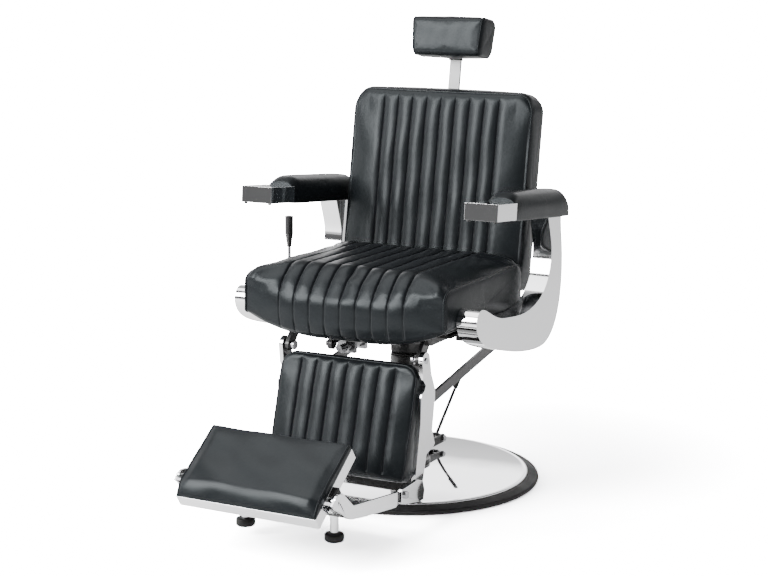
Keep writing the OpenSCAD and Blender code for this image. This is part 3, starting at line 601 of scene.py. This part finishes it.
def outward(rings):
    """Unit normals of a ring surface: the cross product of its two grid directions."""
    around = np.roll(rings, -1, 1) - np.roll(rings, 1, 1)
    along = np.gradient(rings, axis=0)
    normal = np.cross(around, along)
    normal /= np.linalg.norm(normal, axis=2)[..., None] + 1e-12
    middle = rings.mean((0, 1))
    return normal if (normal * (rings - middle)).sum() > 0 else -normal


def finer(rings, along, around):
    """Puts along times as many rings and around times as many points on each, on Catmull-Rom
    curves: each new point is a cubic mix of the four points nearest to it."""
    def weights(t):
        return np.stack([-0.5 * t + t ** 2 - 0.5 * t ** 3, 1 - 2.5 * t ** 2 + 1.5 * t ** 3,
                         0.5 * t + 2 * t ** 2 - 1.5 * t ** 3, -0.5 * t ** 2 + 0.5 * t ** 3])

    near = np.stack([np.roll(rings, shift, 1) for shift in (1, 0, -1, -2)])
    rings = np.einsum("kt,krpc->rptc", weights(np.arange(around) / around), near)
    rings = rings.reshape(len(rings), -1, 3)
    last = len(rings) - 1
    index = np.arange(last)[:, None] + np.arange(-1, 3)[None, :]
    near = rings[np.clip(index, 0, last)]
    dense = np.einsum("kt,rkpc->rtpc", weights(np.arange(along) / along), near)
    return np.concatenate([dense.reshape(last * along, -1, 3), rings[-1:]])


def plump(rings, held, cap, pressure=4.0, steps=20):
    """Blows a ring surface up as cloth and returns its new rings. held, from 0 to 1 for each point,
    pins it, no point moves further than cap, and the moves are smoothed round each ring."""
    count, around = rings.shape[:2]
    trial = lay_skin("trial", rings, leather, "seat")
    pins = trial.vertex_groups.new(name="held")
    flat = np.concatenate([held.ravel(), [1.0, 1.0]])
    for level in np.unique(np.round(flat, 2)):
        pins.add(np.nonzero(np.round(flat, 2) == level)[0].tolist(), float(level), "REPLACE")
    cloth = trial.modifiers.new("cloth", "CLOTH")
    cloth.settings.use_pressure = True
    cloth.settings.uniform_pressure_force = pressure
    cloth.settings.effector_weights.gravity = 0
    cloth.settings.vertex_group_mass = "held"
    cloth.settings.tension_stiffness = cloth.settings.compression_stiffness = 25
    cloth.settings.bending_stiffness = 1.5
    cloth.point_cache.frame_end = steps
    scene = bpy.context.scene
    for step in range(1, steps + 1):
        scene.frame_set(step)
    shape = trial.evaluated_get(bpy.context.evaluated_depsgraph_get())
    moved = np.empty(len(shape.data.vertices) * 3)
    shape.data.vertices.foreach_get("co", moved)
    moved = moved.reshape(-1, 3)[: count * around].reshape(rings.shape) - rings
    bpy.data.objects.remove(trial)
    scene.frame_set(1)
    length = np.linalg.norm(moved, axis=2)[..., None] + 1e-9
    moved *= np.minimum(1, cap / length)
    for _ in range(2):
        moved = (moved * 2 + np.roll(moved, 1, 1) + np.roll(moved, -1, 1)) / 4
    return rings + moved


def smooth(low, high, value):
    """0 below low, 1 above high, and between them a soft S: three times the square of the share of
    the way, less twice its cube."""
    share = np.clip((value - low) / (high - low), 0, 1)
    return share * share * (3 - 2 * share)


def seam_stations(pitch, outer, last):
    """Stations across a channelled face, close together at each seam and wide apart on the crests;
    plain stations about 8 mm apart lead on to -last and last."""
    seams = pitch * np.arange(-outer, outer + 1)
    beside_seam = np.array([-0.3, -0.13, -0.045, 0.045, 0.13, 0.3, 0.5])
    near = (seams[:, None] + pitch * beside_seam).ravel()[:-1]
    steps = max(2, round((last - near[-1]) / 0.008))
    border = np.linspace(near[-1], last, steps + 1)[1:]
    return np.concatenate([-border[::-1], near, border])


def seam_depth(x, pitch, outer, arch, cut):
    """How far the face lies below its crests at x: arch times the square of the nearness to a seam,
    and cut times a Gaussian, which is the narrow stitched valley. Seams lie at whole numbers of
    pitches up to outer."""
    nearest = np.clip(np.round(x / pitch), -outer, outer) * pitch
    away = np.abs(x - nearest) / (pitch / 2)
    return arch * np.clip(1 - away, 0, 1) ** 2 + cut * np.exp(-(away / 0.10) ** 2)


def ripple(a, b, seed, size):
    """A soft, repeatable unevenness between -1 and 1: a few sine waves of wavelengths near size."""
    rng = np.random.default_rng(seed)
    total = 0
    for _ in range(7):
        heading, phase = rng.uniform(0, 2 * np.pi, 2)
        length = size * rng.uniform(0.6, 1.7)
        way = a * np.cos(heading) + b * np.sin(heading)
        total = total + np.sin(way * 2 * np.pi / length + phase)
    return total / 4


def gathered(waves, x, pitch, outer_x):
    """Waves times a weight that is 1 at the seams, falls off exponentially with the sine of the
    distance to them, and is 0 beyond outer_x."""
    return waves * np.exp(-(np.abs(np.sin(np.pi * x / pitch)) / 0.35)) * (np.abs(x) < outer_x)


seat_half, seat_pitch, seat_top, seat_low, board_top = 0.262, 0.0402, 0.5625, 0.4045, 0.4305


def seat_lip(x):
    """Height of the lip under the seat's front, which rises to the sides as the cube of x."""
    return 0.404 + 0.050 * (np.abs(x) / seat_half) ** 3


seat_x, inset, share = across_pad(seat_half, 0.010, seam_stations(seat_pitch, 4, 0.2515))
top = seat_top - draw_in(seat_x, seat_half, 0.034)
rings = strung(seat_x, padded_loop(-0.342 + inset, 0.095 - inset, seat_low, top,
                                   (0.014, 0.037, 0.028, 0.018), (44, 13, 39, 12, 7)))
# In front of the board the underside hangs as a lip, and behind it rests on the board: each ring
# is stretched in height from its flat bottom to that line, with its top left where it is.
top, lip, y, z = top[:, None], seat_lip(seat_x)[:, None], rings[..., 1], rings[..., 2]
rest = board_top + np.maximum(lip - board_top, 0) * smooth(-0.10, -0.30, y)
low = lip + (rest - lip) * smooth(-0.291, -0.281, y)
rings[..., 2] = top - (top - z) * (top - low) / (top - seat_low)
rings = capped(rings, share)
held = edge_held(rings)
held[(rings[..., 2] < 0.434) & (rings[..., 1] > -0.28)] = 1
rings = finer(plump(rings, held, 0.012), 3, 2)
x, y, z = rings[..., 0], rings[..., 1], rings[..., 2]
face = smooth(0.0, 0.02, z - seat_lip(x)) * smooth(seat_half, 0.250, np.abs(x))
face = face * smooth(0.096, 0.075, y)
drop = smooth(0.545, 0.50, z) * smooth(-0.30, -0.335, y)
valley = seam_depth(x, seat_pitch, 4, 0.0034 * (1 - 0.8 * drop), 0.0030 * (1 - 0.5 * drop))
pucker = gathered(0.0008 * ripple(y, z, 3, 0.018), x, seat_pitch, 0.18)
soft = 0.0014 * ripple(x, y + z, 5, 0.16)
rings = rings - outward(rings) * ((valley + pucker + soft) * face)[..., None]
seat = lay_skin("seat_upholstery", rings, leather, "seat")
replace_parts(seat, "seat_cushion")

piping_leather = faux_leather("piping_leather", (0.26, 0.34))


def piped(name, rings, station, out, radius, body):
    """A covered cord along every second point of one ring of a pad, out beyond its surface."""
    path = rings[station] + outward(rings)[station] * out
    return carried(name, wire_section(radius, 10), path[::2], piping_leather, body,
                   closed=True)


piped("seat_piping_right", rings, piping_ring, 0.0006, 0.0026, "seat")
piped("seat_piping_left", rings, len(rings) - 1 - piping_ring, 0.0006, 0.0026, "seat")

# ---------------------------------------------------------------- arm castings
# Cast aluminium hooks, ground flat on both faces and chromed. Each is bolted to the seat frame
# through two tubes, and a black collar closes the gap at its nose.
for part in ("arm_frame_left", "arm_frame_right"):
    crisp(part, chrome, 0.0022, 40)
gloss_black = painted_steel("gloss_black", 0.015, (0.22, 0.34))
crisp("arm_spacers", gloss_black, 0.001)
crisp("arm_bolts", zinc, 0.0008)
crisp("block_screws", gloss_black, 0.0005)

# ---------------------------------------------------------------- arm blocks
# Chromed steel blocks at the front of the armrests. Each runs on as a strip under its pad, and is
# screwed to its casting from below.
for part in ("arm_block_left", "arm_block_right"):
    crisp(part, chrome, 0.0012)

# ---------------------------------------------------------------- arm pads
# Moulded foam under faux leather: upright sides, a domed top, a rounded rear end, and a front that
# rises behind the block.


def arm_pad(name, side):
    """An armrest pad on the side +1 or -1: rings across the arm, carried along it. Each ring is
    half a superellipse, (x / w)^3 + (z / h)^3 = 1, over a lip that hides the steel strip. The top
    rises by a parabola over its first 38 mm, and a quarter circle of 40 mm leads down to the
    rear."""
    rise, straight, rear, end = 0.038, 0.2985, 0.0403, 0.3388
    lip, strip_top, middle_x, fall = 0.0008, 0.0054, 0.293, math.radians(5)
    arc = np.linspace(0, 90, 18) * np.pi / 180
    along = np.concatenate([np.zeros(4), np.linspace(0, rise, 9, endpoint=False),
                            np.linspace(rise, straight, 29, endpoint=False),
                            straight + rear * np.sin(arc), np.full(5, end)])
    share = np.concatenate([(0.3, 0.7, 0.9, 0.975), np.ones(len(along) - 9),
                            (0.98, 0.93, 0.8, 0.5, 0.2)])
    front = np.clip(1 - along / rise, 0, 1) ** 2
    back = np.clip((along - straight) / 0.0405, 0, 1)
    height = 0.065 - 0.014 * front - 0.040 * (1 - np.sqrt(1 - back ** 2))
    width = 0.0409 - 0.005 * np.clip((along - 0.327) / 0.0118, 0, 1) ** 3
    angle = np.linspace(0, 180, 41) * np.pi / 180
    turn_x = np.sign(np.cos(angle)) * np.abs(np.cos(angle)) ** (2 / 3)
    dome_x = turn_x[None] * width[:, None]
    dome_z = lip + (height - lip)[:, None] * np.abs(np.sin(angle))[None] ** (2 / 3)
    low_x = np.linspace(-1, 1, 13)[None] * (width - 0.0036)[:, None]
    low_z = np.full_like(low_x, strip_top)
    lip_x = (width - 0.0028)[:, None]
    lip_z = np.full_like(lip_x, lip)
    aside = np.concatenate([dome_x, -lip_x, low_x, lip_x], 1) * share[:, None]
    up = np.concatenate([dome_z, lip_z, low_z, lip_z], 1)
    up = up.mean(1, keepdims=True) + (up - up.mean(1, keepdims=True)) * share[:, None]
    run = 0.1113 + along[:, None]
    rings = np.stack([side * (middle_x + aside),
                      -0.232 + run * math.cos(fall) + up * math.sin(fall),
                      0.692 - run * math.sin(fall) + up * math.cos(fall)], -1)
    held = np.zeros(rings.shape[:2])
    held[:, 40:] = held[:, :1] = held[:5] = held[-6:] = 1
    rings = finer(plump(rings, held, 0.0012), 3, 3)
    waves = 0.0004 * ripple(rings[..., 1], rings[..., 0] + rings[..., 2], 11, 0.11)
    rings = rings + outward(rings) * waves[..., None]
    pad = lay_skin(name, rings, leather, "seat")
    return pad


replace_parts(arm_pad("arm_upholstery_left", 1), "arm_pad_left")
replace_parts(arm_pad("arm_upholstery_right", -1), "arm_pad_right")

# ---------------------------------------------------------------- hinge pins, lock and hand lever
# Turned steel pins; a gas lock clamped under the frame with a sliding rod; a chromed release shaft
# with a tapered plastic grip.
crisp("hinge_pins", zinc, 0.0008)
crisp("lock_cylinder", plated_steel("lock_steel", 0.4), 0.0008)
crisp("lock_rod", plated_steel("rod_steel", 0.7, (0.08, 0.16)), 0.0006)
crisp("release_lever", chrome, 0.0006)
rib = np.linspace(0, 1, 61)
grip = spun("grip_handle", np.vstack([
    [(0.0046, 0.5562), (0.0052, 0.5562)],
    np.column_stack([ribbed(rib, 0.0056 + 0.0042 * rib, 0.0006, 6, 3), 0.557 + 0.029 * rib]),
    [(0.0100, 0.5866), (0.0103, 0.5872)],
    np.column_stack([np.full(6, 0.0103), np.linspace(0.590, 0.6325, 6)]),
    rounding(0.0090, 0.6327, 0.0013, 0.0013, 0, 90, 6),
    [(0.0001, 0.6342), (0.0001, 0.586), (0.0046, 0.585)]]),
    48, gloss_black, "hand_lever",
    stood((1, 0, 0), (0, 1, 0), (0, 0, 1), (-0.3235, -0.023, 0.0)))
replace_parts(grip, "lever_grip")

# ---------------------------------------------------------------- back frame and shell
# Steel hinge arms and a torque tube in black enamel, bolted to an upholstered shell that closes
# the rear of the back.
crisp("back_frame", black_enamel, 0.001)
crisp("back_shell", leather, 0.006, 25)

# ---------------------------------------------------------------- back cushion
# Foam under faux leather with nine seams, plain borders and round upper corners. A covered cord is
# sewn in all round the edge of its face.


def leaned(angle):
    """A 3 x 3 matrix for an upright pad whose top leans back by angle."""
    return np.array([[1, 0, 0], [0, math.cos(angle), math.sin(angle)],
                     [0, -math.sin(angle), math.cos(angle)]])


def on_back(rings):
    """From the back's own upright position to its place on the leaning back."""
    return rings @ leaned(math.radians(9)).T + np.array([0, 0.105, 0.465])


def round_frame(half, low, high, low_r, high_r):
    """Points 4 mm apart along a rectangle in x and z with round corners, set in y where a cord
    lies, as an array (point, 3)."""
    line = []
    for x, z, r, start in ((half, high, high_r, 0), (-half, high, high_r, 90),
                           (-half, low, low_r, 180), (half, low, low_r, 270)):
        angle = np.radians(start + np.linspace(0, 90, 12))
        line.append(np.column_stack([x - np.sign(x) * r + r * np.cos(angle),
                                     z + (r if z == low else -r) + r * np.sin(angle)]))
    line = np.concatenate(line + [line[0][:1]])
    travelled = np.concatenate([[0], np.cumsum(np.linalg.norm(np.diff(line, axis=0), axis=1))])
    even = np.arange(0, travelled[-1], 0.004)
    return np.column_stack([np.interp(even, travelled, line[:, 0]), np.full(len(even), 0.004),
                            np.interp(even, travelled, line[:, 1])])


def edge_cord(name, rings, targets, out, radius, body):
    """A covered cord laid on the pad's surface along the points nearest to targets, a path that is
    then smoothed by taking means of neighbours."""
    flat, normal = rings.reshape(-1, 3), outward(rings).reshape(-1, 3)
    near = [((flat - target) ** 2).sum(1).argmin() for target in targets]
    path = flat[near] + normal[near] * out
    for _ in range(6):
        path = (2 * path + np.roll(path, 1, 0) + np.roll(path, -1, 0)) / 4
    return carried(name, wire_section(radius, 8), path, piping_leather, body,
                   closed=True)


back_half, back_pitch = 0.245, 0.0393
back_x, inset, share = across_pad(back_half, 0.010, seam_stations(back_pitch, 4, 0.2345))
rings = capped(strung(back_x, padded_loop(
    inset, 0.0718, 0.008 + inset + draw_in(back_x, back_half, 0.012),
    0.494 - inset - draw_in(back_x, 0.2455, 0.044), (0.020, 0.026, 0.012, 0.012),
    (6, 50, 6, 50, 5))), share)
held = edge_held(rings)
upper_corner = (np.abs(rings[..., 0]) > 0.195) & (rings[..., 2] > 0.435)
held[(rings[..., 1] > 0.07) | upper_corner] = 1
rings = finer(plump(rings, held, 0.010), 3, 2)
x, y, z = rings[..., 0], rings[..., 1], rings[..., 2]
face = smooth(0.012, 0.03, z) * smooth(0.486, 0.466, z) * smooth(0.06, 0.03, y)
face = face * smooth(back_half, 0.236, np.abs(x))
valley = seam_depth(x, back_pitch, 4, 0.0038, 0.0020) * smooth(0.486, 0.448, z)
border_fall = 0.0026 * np.clip((np.abs(x) - 0.165) / 0.075, 0, 1) ** 2
pucker = gathered(0.0004 * ripple(z, y, 23, 0.02), x, back_pitch, 0.18)
soft = 0.0012 * ripple(x, z, 25, 0.15)
sunk = (valley + border_fall + pucker + soft) * face
rings = on_back(rings - outward(rings) * sunk[..., None])
back = lay_skin("back_upholstery", rings, leather, "back")
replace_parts(back, "back_cushion")
edge_cord("back_piping", rings, on_back(round_frame(0.2425, 0.010, 0.4915, 0.014, 0.042)),
          0.0002, 0.0021, "back")

# ---------------------------------------------------------------- headrest
# A flat chromed post slides in a steel sleeve with a plastic collar. It carries a firm pad with a
# slightly hollow face and a piped edge on each side.
crisp("headrest_socket", black_enamel, 0.0006)
crisp("headrest_post", polished_chrome("satin_chrome", (0.34, 0.42), 0.17), 0.0007)
crisp("headrest_collar", gloss_black, 0.0008)
head_x, inset, share = across_pad(0.101, 0.013, np.linspace(-0.0865, 0.0865, 29))
rings = capped(strung(head_x, padded_loop(
    -0.006 + inset, 0.077 - inset * 0.4, 0.576 + inset * 0.8, 0.673 - inset * 0.5,
    (0.016, 0.016, 0.022, 0.018), (14, 18, 14, 18, 5))), share)
# The pad is 8 % narrower at its foot than at its top.
rings[..., 0] *= 1 - 0.08 * (0.674 - rings[..., 2]) / 0.098
rings = finer(plump(rings, edge_held(rings), 0.004), 3, 3)
x, y, z = rings[..., 0], rings[..., 1], rings[..., 2]
bowl = np.clip(1 - (x / 0.092) ** 2, 0, 1) * np.clip(1 - ((z - 0.624) / 0.042) ** 2, 0, 1)
hollow = 0.004 * smooth(0.06, 0.0, y) * bowl
rings = on_back(rings - outward(rings) * (hollow + 0.0007 * ripple(x, z + y, 31, 0.06))[..., None])
head = lay_skin("headrest_upholstery", rings, leather, "headrest")
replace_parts(head, "headrest_cushion")
piped("headrest_piping_left", rings, len(rings) - 1 - piping_ring, 0.0003, 0.0016, "headrest")
piped("headrest_piping_right", rings, piping_ring, 0.0003, 0.0016, "headrest")

# ---------------------------------------------------------------- leg rest
# Two flat chromed bars joined by cross bars hang on pins under the seat. Between them a padded
# board with seven seams and a corded edge is screwed to the cross bars.


def on_leg_rest(rings):
    """From the calf pad's own upright position to its place on the leaning bars."""
    return rings @ leaned(math.radians(16)).T + np.array([0, -0.304, 0.365])


for part in ("legrest_arm_left", "legrest_arm_right", "legrest_bars", "footrest_hinges"):
    crisp(part, chrome, 0.001)
crisp("calf_board", board_black, 0.001)
crisp("footrest_pins", zinc, 0.0006)
calf_half, calf_pitch = 0.178, 0.0409
calf_x, inset, share = across_pad(0.1778, 0.009, seam_stations(calf_pitch, 3, 0.1685))
rings = capped(strung(calf_x, padded_loop(
    inset, 0.0446 - inset * 0.4, -0.270 + inset + draw_in(calf_x, calf_half, 0.016),
    -inset - draw_in(calf_x, 0.1785, 0.036), (0.014, 0.018, 0.008, 0.008),
    (5, 32, 5, 32, 5))), share)
held = edge_held(rings)
upper_corner = (np.abs(rings[..., 0]) > 0.140) & (rings[..., 2] > -0.045)
held[(rings[..., 1] > 0.040) | upper_corner] = 1
rings = finer(plump(rings, held, 0.008), 3, 3)
x, y, z = rings[..., 0], rings[..., 1], rings[..., 2]
face = smooth(-0.262, -0.25, z) * smooth(-0.008, -0.026, z) * smooth(0.035, 0.012, y)
face = face * smooth(calf_half, 0.170, np.abs(x))
valley = seam_depth(x, calf_pitch, 3, 0.0036, 0.0020)
pucker = gathered(0.0004 * ripple(z, y, 43, 0.018), x, calf_pitch, 0.14)
soft = 0.0010 * ripple(x, z, 45, 0.12)
rings = on_leg_rest(rings - outward(rings) * ((valley + pucker + soft) * face)[..., None])
calf = lay_skin("calf_upholstery", rings, leather, "leg_rest")
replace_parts(calf, "calf_cushion")
edge_cord("calf_piping", rings, on_leg_rest(round_frame(0.1755, -0.267, -0.003, 0.018, 0.036)),
          0.0002, 0.0019, "leg_rest")

# ---------------------------------------------------------------- link bars
# Flat bars of dark painted steel. Pins at their ends tie the back to the leg rest, so that one
# follows the other.
link_steel = painted_steel("link_steel", 0.022, (0.42, 0.52))
crisp("link_bars", link_steel, 0.0008)

# ---------------------------------------------------------------- footrest
# Chromed side plates with a bent step plate welded between them. It stands on two chromed pegs
# with rubber feet.
for part in ("footrest_side_left", "footrest_side_right", "footrest_pegs"):
    crisp(part, chrome, 0.0009)
# The step plate is chrome with its base colour darkened to 0.10. This is a painted dark reflection:
# it stands in for the dark surroundings that its polished face mirrors.
crisp("step_plate", polished_chrome("step_chrome_painted_dark", (0.16, 0.3), 0.10), 0.0008)
crisp("peg_feet", moulded_rubber("foot_rubber", 0.012), 0.0012)

# ---------------------------------------------------------------- footplate
# A board in a chromed edge, which flips on two pivots against rubber stops. Its crowned pad rolls
# over the low front edge.
crisp("footplate_board", board_black, 0.001)
crisp("footplate_trim", chrome, 0.0007)
crisp("footplate_pivots", chrome, 0.0008)
crisp("footplate_bushes", chrome, 0.0006)
# The stops are black rubber, and their black also stands in for the shade on the flange beside each
# pivot, as painted shade.
crisp("flip_stops", moulded_rubber("stop_rubber_and_painted_shade", 0.02), 0.001)
plate_half, plate_depth, plate_thick = 0.172, 0.194, 0.0135
plate_x, inset, share = across_pad(plate_half, 0.006, np.linspace(-0.1655, 0.1655, 43))
rings = capped(strung(plate_x, padded_loop(
    0.001 + inset, plate_depth - inset * 0.5, 0.0003, plate_thick - inset * 0.9,
    (0.0035, 0.0035, 0.003, 0.003), (22, 3, 22, 3, 4))), share)
held = edge_held(rings)
held[rings[..., 2] < 0.002] = 1
rings = finer(plump(rings, held, 0.0015), 3, 3)
x, y, z = rings[..., 0], rings[..., 1], rings[..., 2]
# The pad is stretched in height until it is as thick as the crown, which thins to the rear, rolls
# down over the first 38 mm and falls a little to the sides.
crown = 0.0225 - 0.0080 * np.clip((y / plate_depth - 0.30) / 0.70, 0, 1) ** 2
crown = crown * (1 - 0.97 * np.clip(1 - y / 0.038, 0, 1) ** 1.6)
crown = crown * (1 - 0.10 * (x / plate_half) ** 6)
folds = 0.0008 * np.sin(2 * np.pi * (0.55 * x + y) / 0.085 + 1.0)
uneven = (0.0010 * ripple(x, y, 53, 0.09) + folds) * smooth(0.002, 0.010, z)
rings[..., 2] = z * crown / plate_thick + uneven
rings = rings @ leaned(-math.radians(35.6)).T + np.array([0, -0.768, 0.132])
sole = lay_skin("footplate_upholstery", rings, leather, "footplate")
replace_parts(sole, "footplate_cushion")
piped("footplate_piping_left", rings, len(rings) - 1 - piping_ring, 0.0001, 0.0016, "footplate")
piped("footplate_piping_right", rings, piping_ring, 0.0001, 0.0016, "footplate")
